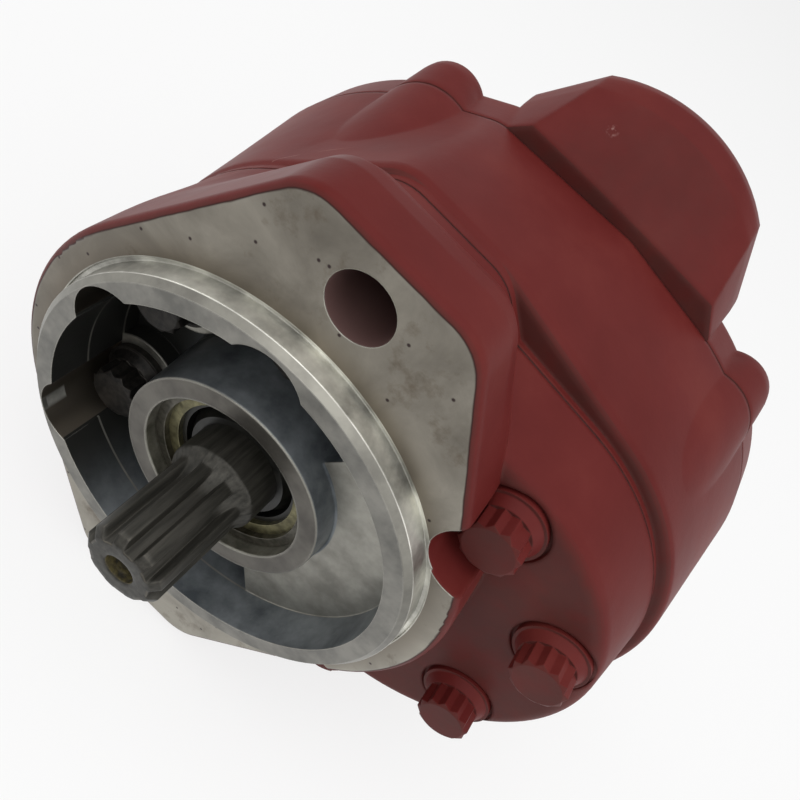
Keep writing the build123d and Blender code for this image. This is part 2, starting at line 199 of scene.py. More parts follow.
def enamelSkin(tree, place, edge):
    # machine enamel sprayed over a sand casting: patches of thick and thin colour, paler on its edges, with
    # painted shade on what faces along -Y
    patches = addNode(tree, "ShaderNodeTexNoise", {}, {
        "Vector": place["spot"], "Scale": lumps(enamelLook["patchMm"]), "Detail": 5.0, "Roughness": 0.6})
    colour = addNode(tree, "ShaderNodeValToRGB", {}, {"Fac": patches}, [
        (0.3, enamelLook["thick"]), (0.72, enamelLook["thin"]), (0.5, enamelLook["colour"])])
    lightEdge = addNode(tree, "ShaderNodeMath", {"operation": "MULTIPLY"}, {
        0: edge, 1: enamelLook["edgeShare"]})
    colour = addNode(tree, "ShaderNodeMix", {"data_type": "RGBA"}, {
        0: lightEdge, 6: colour, 7: enamelLook["edge"]}, out=2)
    # painted shade, grey-brown and patchy, on what faces along -Y
    facing = addNode(tree, "ShaderNodeNewGeometry", out="True Normal")
    facing = addNode(tree, "ShaderNodeSeparateXYZ", {}, {"Vector": facing}, out="Y")
    frontShaded = addNode(tree, "ShaderNodeMapRange", {}, {
        "Value": facing, "From Min": -0.6, "From Max": -0.95, "To Max": enamelLook["frontShadeShare"]})
    film = addNode(tree, "ShaderNodeTexNoise", {}, {
        "Vector": place["spot"], "Scale": lumps(enamelLook["frontShadeMm"]), "Detail": 5.0})
    film = addNode(tree, "ShaderNodeMapRange", {}, {
        "Value": film, "From Min": 0.3, "From Max": 0.6, "To Min": 0.5})
    frontShaded = addNode(tree, "ShaderNodeMath", {"operation": "MULTIPLY"}, {0: frontShaded, 1: film})
    colour = addNode(tree, "ShaderNodeMix", {"data_type": "RGBA"}, {
        0: frontShaded, 6: colour, 7: enamelLook["frontShade"]}, out=2)
    sand = addNode(tree, "ShaderNodeTexNoise", {}, {
        "Vector": place["spot"], "Scale": lumps(enamelLook["sandMm"]), "Detail": 3.0})
    wave = addNode(tree, "ShaderNodeTexNoise", {}, {
        "Vector": place["spot"], "Scale": lumps(enamelLook["waveMm"]), "Detail": 1.0})
    low = addNode(tree, "ShaderNodeMath", {"operation": "MULTIPLY"}, {
        0: wave, 1: enamelLook["waveHeightMm"] * mm})
    height = addNode(tree, "ShaderNodeMath", {"operation": "MULTIPLY_ADD"}, {
        0: sand, 1: enamelLook["sandHeightMm"] * mm, 2: low})
    rough = addNode(tree, "ShaderNodeMath", {"operation": "MULTIPLY_ADD"}, {
        0: patches, 1: enamelLook["roughSpread"], 2: enamelLook["roughness"] - enamelLook["roughSpread"] / 2})
    return {"colour": colour, "height": height, "roughness": rough}


def scratchMask(tree, place):
    # a scratch down the drive side: z = floor + rate * (y - bend)^2 past the bend, in millimetres
    look = scratchLook
    past = addNode(tree, "ShaderNodeMath", {"operation": "SUBTRACT"}, {
        0: place["y"], 1: look["bendFrom"] * mm})
    past = addNode(tree, "ShaderNodeMath", {"operation": "MAXIMUM"}, {0: past, 1: 0.0})
    bent = addNode(tree, "ShaderNodeMath", {"operation": "MULTIPLY"}, {0: past, 1: past})
    line = addNode(tree, "ShaderNodeMath", {"operation": "MULTIPLY_ADD"}, {
        0: bent, 1: look["bendRate"] / mm, 2: look["floorZ"] * mm})
    off = addNode(tree, "ShaderNodeMath", {"operation": "SUBTRACT"}, {0: place["z"], 1: line})
    off = addNode(tree, "ShaderNodeMath", {"operation": "ABSOLUTE"}, {0: off})
    breaks = addNode(tree, "ShaderNodeTexNoise", {"noise_dimensions": "1D"}, {
        "W": place["y"], "Scale": lumps(look["breakMm"]), "Detail": 2.0})
    limits = [
        {"Value": off, "From Min": look["halfWidthMm"] * mm, "From Max": look["halfWidthMm"] * mm / 2},
        {"Value": breaks, "From Min": 0.38, "From Max": 0.55},
        {"Value": place["y"], **rise(look["fromY"], 1.0)},
        {"Value": place["y"], **rise(look["toY"], -1.0)},
        {"Value": place["x"], **rise(look["beyondX"], -1.0)},
    ]
    mask = 1.0
    for limit in limits:
        within = addNode(tree, "ShaderNodeMapRange", {}, limit)
        mask = addNode(tree, "ShaderNodeMath", {"operation": "MULTIPLY"}, {0: mask, 1: within})
    return mask


def addScratch(tree, place, colour):
    mask = addNode(tree, "ShaderNodeMath", {"operation": "MULTIPLY"}, {
        0: scratchMask(tree, place), 1: scratchLook["share"]})
    return addNode(tree, "ShaderNodeMix", {"data_type": "RGBA"}, {
        0: mask, 6: colour, 7: scratchLook["colour"]}, out=2)


def plainEnamel(name, edgeRoundMm):
    # dull red machine enamel: soft sheen, hardly any grain, edges as round as the piece under it
    material, tree = newMaterial(name)
    place = placeOn(tree)
    rounded, edge = softEdges(tree, edgeRoundMm * mm)
    skin = enamelSkin(tree, place, edge)
    colour = addScratch(tree, place, skin["colour"])
    normal = addNode(tree, "ShaderNodeBump", {}, {
        "Height": skin["height"], "Distance": 1.0, "Normal": rounded})
    finishMaterial(tree, {"Base Color": colour, "Roughness": skin["roughness"],
                          "Specular IOR Level": enamelLook["gloss"], "Normal": normal})
    return material


portLook = {
    "metal": "#8d8a84",
    "metalDark": "#54524e",
    "threadPitchMm": 2.1,   # coarse port thread, drawn as ridges on the plain bore
    "threadHeightMm": 0.5,
    "cloudMm": 5,
    "roughness": 0.34,
    "reachMm": 0.25,        # how far the bare metal goes past the bore's wall and floor
    "softMm": 0.12,
    "edgeRoundMm": 2.2,     # the rear casting has the roundest edges
}


def rearCasting():
    # the same enamel, with both port bores left bare and threaded, and one small chip on the inlet's slope
    material, tree = newMaterial("castingEnamelWithBarePorts")
    place = placeOn(tree)
    rounded, edge = softEdges(tree, portLook["edgeRoundMm"] * mm)
    skin = enamelSkin(tree, place, edge)
    fromChip = addNode(tree, "ShaderNodeVectorMath", {"operation": "DISTANCE"}, {
        0: place["spot"], 1: [v * mm for v in chipLook["place"]]}, out="Value")
    nearChip = addNode(tree, "ShaderNodeMapRange", {}, {
        "Value": fromChip, **rise(chipLook["reachMm"], -chipLook["softMm"])})
    flakes = addNode(tree, "ShaderNodeTexNoise", {}, {
        "Vector": place["spot"], "Scale": lumps(chipLook["flakeMm"]), "Detail": 2.0})
    flakes = addNode(tree, "ShaderNodeMapRange", {}, {"Value": flakes, "From Min": 0.48, "From Max": 0.62})
    chip = addNode(tree, "ShaderNodeMath", {"operation": "MULTIPLY"}, {0: nearChip, 1: flakes})
    painted = addNode(tree, "ShaderNodeMix", {"data_type": "RGBA"}, {
        0: chip, 6: skin["colour"], 7: chipLook["colour"]}, out=2)
    bare = 0.0
    for port in pump["ports"].values():
        fromX = addNode(tree, "ShaderNodeMath", {"operation": "SUBTRACT"}, {
            0: place["x"], 1: port["x"] * mm})
        fromZ = addNode(tree, "ShaderNodeMath", {"operation": "SUBTRACT"}, {
            0: place["z"], 1: port["z"] * mm})
        inside = addNode(tree, "ShaderNodeMapRange", {}, {
            "Value": awayFromAxis(tree, fromX, fromZ),
            **rise(port["radius"] + portLook["reachMm"], -portLook["softMm"])})
        above = addNode(tree, "ShaderNodeMapRange", {}, {
            "Value": place["y"], **rise(port["floor"] - portLook["reachMm"], portLook["softMm"])})
        bore = addNode(tree, "ShaderNodeMath", {"operation": "MULTIPLY"}, {0: inside, 1: above})
        bare = addNode(tree, "ShaderNodeMath", {"operation": "MAXIMUM"}, {0: bare, 1: bore})
    clouds = addNode(tree, "ShaderNodeTexNoise", {}, {
        "Vector": place["spot"], "Scale": lumps(portLook["cloudMm"]), "Detail": 4.0})
    metal = addNode(tree, "ShaderNodeValToRGB", {}, {"Fac": clouds}, [
        (0.35, portLook["metalDark"]), (0.65, portLook["metal"])])
    colour = addNode(tree, "ShaderNodeMix", {"data_type": "RGBA"}, {0: bare, 6: painted, 7: metal}, out=2)
    ridges = addNode(tree, "ShaderNodeMath", {"operation": "PINGPONG"}, {
        0: place["y"], 1: portLook["threadPitchMm"] / 2 * mm})
    ridges = addNode(tree, "ShaderNodeMath", {"operation": "MULTIPLY"}, {
        0: ridges, 1: portLook["threadHeightMm"] / portLook["threadPitchMm"] * 2})
    height = addNode(tree, "ShaderNodeMix", {}, {0: bare, 2: skin["height"], 3: ridges})
    rough = addNode(tree, "ShaderNodeMix", {}, {0: bare, 2: skin["roughness"], 3: portLook["roughness"]})
    normal = addNode(tree, "ShaderNodeBump", {}, {"Height": height, "Distance": 1.0, "Normal": rounded})
    finishMaterial(tree, {"Base Color": colour, "Metallic": bare, "Roughness": rough,
                          "Specular IOR Level": enamelLook["gloss"], "Normal": normal})
    return material


# Front cover: bare where it was turned, cast skin in the hollow, enamel outside

faceLook = {
    "dark": "#67625a",
    "mid": "#7b766d",
    "light": "#8f8a80",
    "paintedReflection": "#b3afa4",     # painted reflection, lighter on the driven gear's side
    "reflectionFrom": -30.0,
    "reflectionTo": 60.0,
    "patchMm": 15,
    # colour of the real stains, also used for the painted shade at the pilot's foot
    "stainAndShade": "#574b3d",
    "stainMm": 9,
    "stainShare": 0.7,
    "footShadeMm": 3.5,          # half width of the ring of painted shade at the pilot's foot
    "pit": "#3a3030",
    "pitCellMm": 7.0,       # one pit in some of these cells
    "pitRadiusMm": 0.3,
    "pitShare": 0.45,       # cells whose random shade is above this have a pit
    "sandMm": 0.7,          # sand grain where the face gives way to cast walls
    "roughness": 0.38,
    "turnMm": 0.5,          # spacing of the turning marks, coarser than real so that it shows
    "turnHeightMm": 0.003,
    "brushed": 0.6,         # anisotropy: highlights stretch across the turning marks
    "rubbedEdge": "#c4c2b8",
    "rubbedShare": 0.5,
    "rubbedDepthMm": 1.2,
    "edgeRoundMm": 0.35,
    "bossRoundMm": 0.9,
    "bossReachMm": 1.5,     # how far past the boss its rounder edges go
}
# Bare zones inside the face, in millimetres: each is a ring of radii and a span of depths from the face
bareZones = {
    # the pilot band's light clouds are pale enough to stand for its bright streaks: part of its tone is
    # painted highlight
    "pilotBand": {"radii": (39.9, 42.4), "depths": (-4.72, 0.7), "dark": "#75736d", "light": "#e4e3da",
                  "patchMm": 12, "roughness": 0.36, "metal": 0.85, "grain": "lines", "grainHeightMm": 0.008},
    "leadIn": {"radii": (39.9, 41.22), "depths": (-4.72, -3.65), "dark": "#716f69", "light": "#8d8b83",
               "patchMm": 7, "roughness": 0.4, "metal": 1.0, "grain": "lines", "grainHeightMm": 0.006},
    "pilotFront": {"radii": (36.1, 40.15), "depths": (-6.0, -4.68), "dark": "#6b6a66", "light": "#8a8882",
                   "patchMm": 6, "roughness": 0.42, "metal": 1.0, "grain": "rings", "grainHeightMm": 0.004},
    "castWalls": {"radii": (-1.0, 36.9), "depths": (-4.68, 60.0), "dark": "#565b5f", "light": "#868b8e",
                  "patchMm": 9, "roughness": 0.32, "metal": 0.4, "grain": "sand", "grainHeightMm": 0.02},
    "raisedFloor": {"radii": (22.0, 36.7), "depths": (3.8, 4.2), "dark": "#807e77", "light": "#a19f97",
                    "patchMm": 6, "roughness": 0.42, "metal": 0.8, "grain": "sand", "grainHeightMm": 0.015},
    "boltSeats": {"radii": (20.0, 36.8), "depths": (12.8, 13.3), "dark": "#807e77", "light": "#aaa89f",
                  "patchMm": 4, "roughness": 0.38, "metal": 0.8, "grain": "sand", "grainHeightMm": 0.01},
    "bossFront": {"radii": (17.0, 21.45), "depths": (-1.4, -0.95), "dark": "#504d49", "light": "#68655f",
                  "patchMm": 7, "roughness": 0.38, "metal": 1.0, "grain": "rings", "grainHeightMm": 0.004},
    "sealBore": {"radii": (-1.0, 18.4), "depths": (-1.0, 60.0), "dark": "#66645a", "light": "#a09e92",
                 "patchMm": 4, "roughness": 0.35, "metal": 0.8, "grain": "lines", "grainHeightMm": 0.004},
}
zoneSoftMm = 0.06
# Painted shade round the inner bolts, deepest past the first x and gone at the second
pocketShadeLook = {"fullX": -27.0, "goneX": -9.0, "colour": "#2e2e2c"}


def zoneMask(tree, place, zone):
    # 1 inside the ring and the span of depths, with edges a tenth of a millimetre soft
    mask = 1.0
    for length, (low, high) in ((place["radius"], zone["radii"]), (place["y"], zone["depths"])):
        for limit in (rise(low, zoneSoftMm), rise(high, -zoneSoftMm)):
            within = addNode(tree, "ShaderNodeMapRange", {}, {"Value": length, **limit})
            mask = addNode(tree, "ShaderNodeMath", {"operation": "MULTIPLY"}, {0: mask, 1: within})
    return mask


def turnedFace(tree, place):
    # face-turned aluminium that has been handled and oiled: grey clouds, brown stains, a few dark pits, a
    # painted reflection towards the driven gear's lower side and painted shade at the pilot's foot
    clouds = addNode(tree, "ShaderNodeTexNoise", {}, {
        "Vector": place["spot"], "Scale": lumps(faceLook["patchMm"]), "Detail": 6.0, "Roughness": 0.6,
        "Distortion": 0.6})
    colour = addNode(tree, "ShaderNodeValToRGB", {}, {"Fac": clouds}, [
        (0.3, faceLook["dark"]), (0.7, faceLook["light"]), (0.5, faceLook["mid"])])
    # the painted reflection grows with x - z, towards the lower side of the driven gear
    across = addNode(tree, "ShaderNodeMath", {"operation": "SUBTRACT"}, {0: place["x"], 1: place["z"]})
    paintedReflection = addNode(tree, "ShaderNodeMapRange", {}, {
        "Value": across, "From Min": faceLook["reflectionFrom"] * mm, "From Max": faceLook["reflectionTo"] * mm})
    paintedReflection = addNode(tree, "ShaderNodeMath", {"operation": "MULTIPLY"}, {0: paintedReflection, 1: clouds})
    colour = addNode(tree, "ShaderNodeMix", {"data_type": "RGBA"}, {
        0: paintedReflection, 6: colour, 7: faceLook["paintedReflection"]}, out=2)
    stainsAndShade = addNode(tree, "ShaderNodeTexNoise", {}, {
        "Vector": place["spot"], "Scale": lumps(faceLook["stainMm"]), "Detail": 6.0, "Roughness": 0.68})
    stainsAndShade = addNode(tree, "ShaderNodeMapRange", {}, {
        "Value": stainsAndShade, "From Min": 0.53, "From Max": 0.68, "To Max": faceLook["stainShare"]})
    # painted shade gathers at the foot of the pilot, in the colour of the stains
    footShade = addNode(tree, "ShaderNodeMapRange", {"interpolation_type": "SMOOTHSTEP"}, {
        "Value": place["radius"], **rise(pump["pilotRadius"] + faceLook["footShadeMm"], -faceLook["footShadeMm"])})
    footShade = addNode(tree, "ShaderNodeMath", {"operation": "MULTIPLY"}, {0: footShade, 1: clouds})
    stainsAndShade = addNode(tree, "ShaderNodeMath", {"operation": "MAXIMUM"}, {0: stainsAndShade, 1: footShade})
    colour = addNode(tree, "ShaderNodeMix", {"data_type": "RGBA"}, {
        0: stainsAndShade, 6: colour, 7: faceLook["stainAndShade"]}, out=2)
    onFace = addNode(tree, "ShaderNodeCombineXYZ", {}, {"X": place["x"], "Y": place["z"]})
    cells = addNode(tree, "ShaderNodeTexVoronoi", {"voronoi_dimensions": "2D"}, {
        "Vector": onFace, "Scale": lumps(faceLook["pitCellMm"])}, out=None)
    pitInCells = faceLook["pitRadiusMm"] / faceLook["pitCellMm"]
    nearPit = addNode(tree, "ShaderNodeMapRange", {}, {
        "Value": cells["Distance"], "From Min": pitInCells * 1.3, "From Max": pitInCells * 0.6})
    chosen = addNode(tree, "ShaderNodeMath", {"operation": "GREATER_THAN"}, {
        0: cells["Color"], 1: faceLook["pitShare"]})
    pits = addNode(tree, "ShaderNodeMath", {"operation": "MULTIPLY"}, {0: nearPit, 1: chosen})
    return addNode(tree, "ShaderNodeMix", {"data_type": "RGBA"}, {
        0: pits, 6: colour, 7: faceLook["pit"]}, out=2)


def bareMetal(tree, place):
    # the turned face, with the bare zones laid over it one after the other
    rings = addNode(tree, "ShaderNodeTexNoise", {"noise_dimensions": "1D"}, {
        "W": place["radius"], "Scale": lumps(faceLook["turnMm"]), "Detail": 3.0})
    lines = addNode(tree, "ShaderNodeTexNoise", {"noise_dimensions": "1D"}, {
        "W": place["y"], "Scale": lumps(faceLook["turnMm"]), "Detail": 3.0})
    sand = addNode(tree, "ShaderNodeTexNoise", {}, {
        "Vector": place["spot"], "Scale": lumps(faceLook["sandMm"]), "Detail": 3.0})
    grains = {"rings": rings, "lines": lines, "sand": sand}
    colour = turnedFace(tree, place)
    height = addNode(tree, "ShaderNodeMath", {"operation": "MULTIPLY"}, {
        0: rings, 1: faceLook["turnHeightMm"] * mm})
    rough = faceLook["roughness"]
    metal = 1.0
    for zone in bareZones.values():
        mask = zoneMask(tree, place, zone)
        clouds = addNode(tree, "ShaderNodeTexNoise", {}, {
            "Vector": place["spot"], "Scale": lumps(zone["patchMm"]), "Detail": 5.0, "Roughness": 0.6})
        tint = addNode(tree, "ShaderNodeValToRGB", {}, {"Fac": clouds}, [
            (0.34, zone["dark"]), (0.66, zone["light"])])
        grain = addNode(tree, "ShaderNodeMath", {"operation": "MULTIPLY"}, {
            0: grains[zone["grain"]], 1: zone["grainHeightMm"] * mm})
        if zone is bareZones["castWalls"]:
            # painted shade, nearly black, round the inner bolts
            pocketShade = addNode(tree, "ShaderNodeMapRange", {"interpolation_type": "SMOOTHSTEP"}, {
                "Value": place["x"], "From Min": pocketShadeLook["goneX"] * mm,
                "From Max": pocketShadeLook["fullX"] * mm})
            tint = addNode(tree, "ShaderNodeMix", {"data_type": "RGBA"}, {
                0: pocketShade, 6: tint, 7: pocketShadeLook["colour"]}, out=2)
        colour = addNode(tree, "ShaderNodeMix", {"data_type": "RGBA"}, {0: mask, 6: colour, 7: tint}, out=2)
        height = addNode(tree, "ShaderNodeMix", {}, {0: mask, 2: height, 3: grain})
        rough = addNode(tree, "ShaderNodeMix", {}, {0: mask, 2: rough, 3: zone["roughness"]})
        metal = addNode(tree, "ShaderNodeMix", {}, {0: mask, 2: metal, 3: zone["metal"]})
    return {"colour": colour, "height": height, "roughness": rough, "metal": metal}


oversprayLook = {
    "fromMm": 0.2,          # depth from the face
    "softMm": 0.04,
    "wanderMm": 6,          # length and depth of its unevenness
    "wanderDepthMm": 0.12,
    "line": "#3b2a28",      # thin dark line just before it
    "lineBeforeMm": 0.07,
    "lineSoftMm": 0.03,
    "ringSoftMm": 0.1,
    # it also reaches in where the bolt clearances on the driven side cut the pilot's foot
    "cutDepthMm": 0.65,
    "cutSoftMm": 0.05,
    "cutFromX": 20.0,
    "pastWallMm": 1.0,
}


def oversprayMasks(tree, place):
    # masks of the enamel and of the dark line before it: both start just over the edge of the face, a little
    # unevenly, and keep outside the pilot's relief ring
    look = oversprayLook
    wander = addNode(tree, "ShaderNodeTexNoise", {}, {
        "Vector": place["spot"], "Scale": lumps(look["wanderMm"]), "Detail": 2.0})
    edgeDepth = addNode(tree, "ShaderNodeMath", {"operation": "MULTIPLY_ADD"}, {
        0: wander, 1: look["wanderDepthMm"] * mm, 2: place["y"]})
    outside = addNode(tree, "ShaderNodeMapRange", {}, {
        "Value": place["radius"], **rise(pump["reliefRadius"], look["ringSoftMm"])})
    cut = addNode(tree, "ShaderNodeMapRange", {}, {
        "Value": place["y"], **rise(look["cutDepthMm"], look["cutSoftMm"])})
    pastWall = addNode(tree, "ShaderNodeMapRange", {}, {
        "Value": place["radius"], **rise(pump["hollowRadius"] + look["pastWallMm"], look["ringSoftMm"])})
    drivenSide = addNode(tree, "ShaderNodeMath", {"operation": "GREATER_THAN"}, {
        0: place["x"], 1: look["cutFromX"] * mm})
    cut = addNode(tree, "ShaderNodeMath", {"operation": "MULTIPLY"}, {0: cut, 1: pastWall})
    cut = addNode(tree, "ShaderNodeMath", {"operation": "MULTIPLY"}, {0: cut, 1: drivenSide})
    outside = addNode(tree, "ShaderNodeMath", {"operation": "MAXIMUM"}, {0: outside, 1: cut})
    masks = []
    for limit in (rise(look["fromMm"], look["softMm"]),
                  rise(look["fromMm"] - look["lineBeforeMm"], look["lineSoftMm"])):
        deeper = addNode(tree, "ShaderNodeMapRange", {}, {"Value": edgeDepth, **limit})
        masks.append(addNode(tree, "ShaderNodeMath", {"operation": "MULTIPLY"}, {0: deeper, 1: outside}))
    return masks


mountHoleLook = {"colour": "#654d4a", "pastWallMm": 0.2, "pastFloorMm": 0.3, "softMm": 0.1}


def dustMountHoles(tree, place, enamel):
    # only a dusting of overspray reached into the two mounting holes
    look = mountHoleLook
    holeZ = addNode(tree, "ShaderNodeMath", {"operation": "ABSOLUTE"}, {0: place["z"]})
    holeZ = addNode(tree, "ShaderNodeMath", {"operation": "SUBTRACT"}, {0: holeZ, 1: pump["mountHoleZ"] * mm})
    inHole = addNode(tree, "ShaderNodeMapRange", {}, {
        "Value": awayFromAxis(tree, place["x"], holeZ),
        **rise(pump["mountHoleRadius"] + look["pastWallMm"], -look["softMm"])})
    inDepth = addNode(tree, "ShaderNodeMapRange", {}, {
        "Value": place["y"], **rise(pump["mountHoleDepth"] + look["pastFloorMm"], -look["softMm"])})
    inHole = addNode(tree, "ShaderNodeMath", {"operation": "MULTIPLY"}, {0: inHole, 1: inDepth})
    return addNode(tree, "ShaderNodeMix", {"data_type": "RGBA"}, {
        0: inHole, 6: enamel, 7: look["colour"]}, out=2)


def frontCasting():
    # turned aluminium, grey and satin with rings of light, dull cast walls in its hollow, and dull red enamel
    # outside: one casting whose finishes are told apart by radius and depth
    material, tree = newMaterial("turnedAndEnamelledAluminium")
    place = placeOn(tree)
    bare = bareMetal(tree, place)
    painted, line = oversprayMasks(tree, place)
    colour = addNode(tree, "ShaderNodeMix", {"data_type": "RGBA"}, {
        0: line, 6: bare["colour"], 7: oversprayLook["line"]}, out=2)
    # turned edges are a third as round as cast ones, and the seal boss lies between
    onBoss = addNode(tree, "ShaderNodeMapRange", {}, {
        "Value": place["radius"], **rise(pump["bossRadius"] + faceLook["bossReachMm"], -0.2),
        "To Min": faceLook["edgeRoundMm"] * mm, "To Max": faceLook["bossRoundMm"] * mm})
    edgeRound = addNode(tree, "ShaderNodeMix", {}, {
        0: painted, 2: onBoss, 3: enamelLook["edgeRoundMm"] * mm})
    rounded, edge = softEdges(tree, edgeRound)
    # bare edges near the face are rubbed bright
    nearFront = addNode(tree, "ShaderNodeMapRange", {}, {
        "Value": place["y"], **rise(faceLook["rubbedDepthMm"], -0.3), "To Max": faceLook["rubbedShare"]})
    rubbed = addNode(tree, "ShaderNodeMath", {"operation": "MULTIPLY"}, {0: edge, 1: nearFront})
    colour = addNode(tree, "ShaderNodeMix", {"data_type": "RGBA"}, {
        0: rubbed, 6: colour, 7: faceLook["rubbedEdge"]}, out=2)
    skin = enamelSkin(tree, place, edge)
    enamel = dustMountHoles(tree, place, addScratch(tree, place, skin["colour"]))
    colour = addNode(tree, "ShaderNodeMix", {"data_type": "RGBA"}, {0: painted, 6: colour, 7: enamel}, out=2)
    height = addNode(tree, "ShaderNodeMix", {}, {0: painted, 2: bare["height"], 3: skin["height"]})
    rough = addNode(tree, "ShaderNodeMix", {}, {0: painted, 2: bare["roughness"], 3: skin["roughness"]})
    metal = addNode(tree, "ShaderNodeMix", {}, {0: painted, 2: bare["metal"], 3: 0.0})
    normal = addNode(tree, "ShaderNodeBump", {}, {"Height": height, "Distance": 1.0, "Normal": rounded})
    # across the turning marks: (x, radius, z) lies radially on the faces and along y on the round walls
    acrossMarks = addNode(tree, "ShaderNodeCombineXYZ", {}, {
        "X": place["x"], "Y": place["radius"], "Z": place["z"]})
    acrossMarks = addNode(tree, "ShaderNodeVectorMath", {"operation": "NORMALIZE"}, {0: acrossMarks})
    finishMaterial(tree, {"Base Color": colour, "Metallic": metal, "Roughness": rough,
                          "Specular IOR Level": enamelLook["gloss"], "Anisotropic": faceLook["brushed"],
                          "Tangent": acrossMarks, "Normal": normal})
    return material


# Steel, bronze and rubber pieces

steelLooks = {
    # dark steel of the shaft, with brownish oil and rubbed streaks along it
    "oiledShaftSteel": {"dark": "#282723", "light": "#42403b", "streakMm": 0.9, "alongY": 0.08,
                        "roughness": 0.44, "heightMm": 0.008, "edge": "#645f55", "edgeRoundMm": 0.2,
                        "metal": 0.45},
    # pressed steel can of the seal under a film of old oil, greenish brown and shiny
    "oiledSealSteel": {"dark": "#4a4630", "light": "#807b5c", "streakMm": 2.0, "alongY": 1.0,
                       "roughness": 0.32, "heightMm": 0.006, "edge": "#9c9878", "edgeRoundMm": 0.25,
                       "metal": 0.7},
    # bored bronze bush: brown gold, dulled by oil
    "bearingBronze": {"dark": "#4a3820", "light": "#7a6238", "streakMm": 1.5, "alongY": 1.0,
                      "roughness": 0.4, "heightMm": 0.004, "edge": "#a08a58", "edgeRoundMm": 0.2,
                      "metal": 0.9},
    # stamped spring steel ring, black with oil and rubbed bright on its edges
    "oiledSpringSteel": {"dark": "#37352f", "light": "#5f5c54", "streakMm": 1.6, "alongY": 1.0,
                         "roughness": 0.33, "heightMm": 0.004, "edge": "#8d8a80", "edgeRoundMm": 0.2,
                         "metal": 0.8},
    # ground dowel pins: even grey with a clear shine
    "groundPinSteel": {"dark": "#5d5c58", "light": "#84827c", "streakMm": 0.8, "alongY": 0.2,
                       "roughness": 0.28, "heightMm": 0.002, "edge": "#a5a39c", "edgeRoundMm": 0.3,
                       "metal": 1.0},
    # blackened cap screws inside the pilot hollow: their own dark steel deepened with painted shade of the
    # hollow, nearly black, with a dull sheen
    "blackenedBoltSteel": {"dark": "#171615", "light": "#302d2a", "streakMm": 1.2, "alongY": 1.0,
                           "roughness": 0.48, "heightMm": 0.01, "edge": "#55514b", "edgeRoundMm": 0.35,
                           "metal": 0.5},
}
oilLook = {"filmMm": 3, "roughSpread": 0.2, "gloss": 0.25}      # thin film on all of these
greaseLook = {
    "colour": "#5a5236",
    "dark": "#34312a",
    "lumpMm": 1.1,
    "heightMm": 0.25,
    "pastWallMm": 0.12,
    "wallSoftMm": 0.05,
    "behindEndMm": 0.15,
    "endSoftMm": 0.08,
}


def addGrease(tree, place, base):
    # yellow grease left in the shaft's centre hole from fitting: matt, lumpy and no metal
    look = greaseLook
    inHole = addNode(tree, "ShaderNodeMapRange", {}, {
        "Value": place["radius"], **rise(pump["centreHoleRadius"] + look["pastWallMm"], -look["wallSoftMm"])})
    behindEnd = addNode(tree, "ShaderNodeMapRange", {}, {
        "Value": place["y"], **rise(look["behindEndMm"] - pump["shaftReach"], look["endSoftMm"])})
    grease = addNode(tree, "ShaderNodeMath", {"operation": "MULTIPLY"}, {0: inHole, 1: behindEnd})
    lump = addNode(tree, "ShaderNodeTexNoise", {}, {
        "Vector": place["spot"], "Scale": lumps(look["lumpMm"]), "Detail": 3.0})
    tint = addNode(tree, "ShaderNodeValToRGB", {}, {"Fac": lump}, [
        (0.35, look["dark"]), (0.6, look["colour"])])
    raised = addNode(tree, "ShaderNodeMath", {"operation": "MULTIPLY"}, {0: lump, 1: look["heightMm"] * mm})
    colour = addNode(tree, "ShaderNodeMix", {"data_type": "RGBA"}, {
        0: grease, 6: base["colour"], 7: tint}, out=2)
    height = addNode(tree, "ShaderNodeMix", {}, {0: grease, 2: base["height"], 3: raised})
    metal = addNode(tree, "ShaderNodeMath", {"operation": "MULTIPLY_ADD"}, {
        0: grease, 1: -base["metal"], 2: base["metal"]})
    return {"colour": colour, "height": height, "metal": metal}


def steel(name):
    # metal that has been machined and handled: streaks, an oil film of uneven shine, rubbed edges
    look = steelLooks[name]
    material, tree = newMaterial(name)
    place = placeOn(tree)
    stretched = addNode(tree, "ShaderNodeMapping", {}, {
        "Vector": place["spot"], "Scale": (1.0, look["alongY"], 1.0)})
    streaks = addNode(tree, "ShaderNodeTexNoise", {}, {
        "Vector": stretched, "Scale": lumps(look["streakMm"]), "Detail": 5.0, "Roughness": 0.62})
    colour = addNode(tree, "ShaderNodeValToRGB", {}, {"Fac": streaks}, [
        (0.34, look["dark"]), (0.66, look["light"])])
    rounded, edge = softEdges(tree, look["edgeRoundMm"] * mm)
    film = addNode(tree, "ShaderNodeTexNoise", {}, {
        "Vector": place["spot"], "Scale": lumps(oilLook["filmMm"]), "Detail": 3.0})
    rubbed = addNode(tree, "ShaderNodeMath", {"operation": "MULTIPLY"}, {0: edge, 1: film})
    colour = addNode(tree, "ShaderNodeMix", {"data_type": "RGBA"}, {
        0: rubbed, 6: colour, 7: look["edge"]}, out=2)
    rough = addNode(tree, "ShaderNodeMath", {"operation": "MULTIPLY_ADD"}, {
        0: film, 1: oilLook["roughSpread"], 2: look["roughness"] - oilLook["roughSpread"] / 2})
    height = addNode(tree, "ShaderNodeMath", {"operation": "MULTIPLY"}, {
        0: streaks, 1: look["heightMm"] * mm})
    skin = {"colour": colour, "height": height, "metal": look["metal"]}
    if name == "oiledShaftSteel":
        skin = addGrease(tree, place, skin)
    normal = addNode(tree, "ShaderNodeBump", {}, {
        "Height": skin["height"], "Distance": 1.0, "Normal": rounded})
    finishMaterial(tree, {"Base Color": skin["colour"], "Metallic": skin["metal"], "Roughness": rough,
                          "Specular IOR Level": oilLook["gloss"], "Normal": normal})
    return material


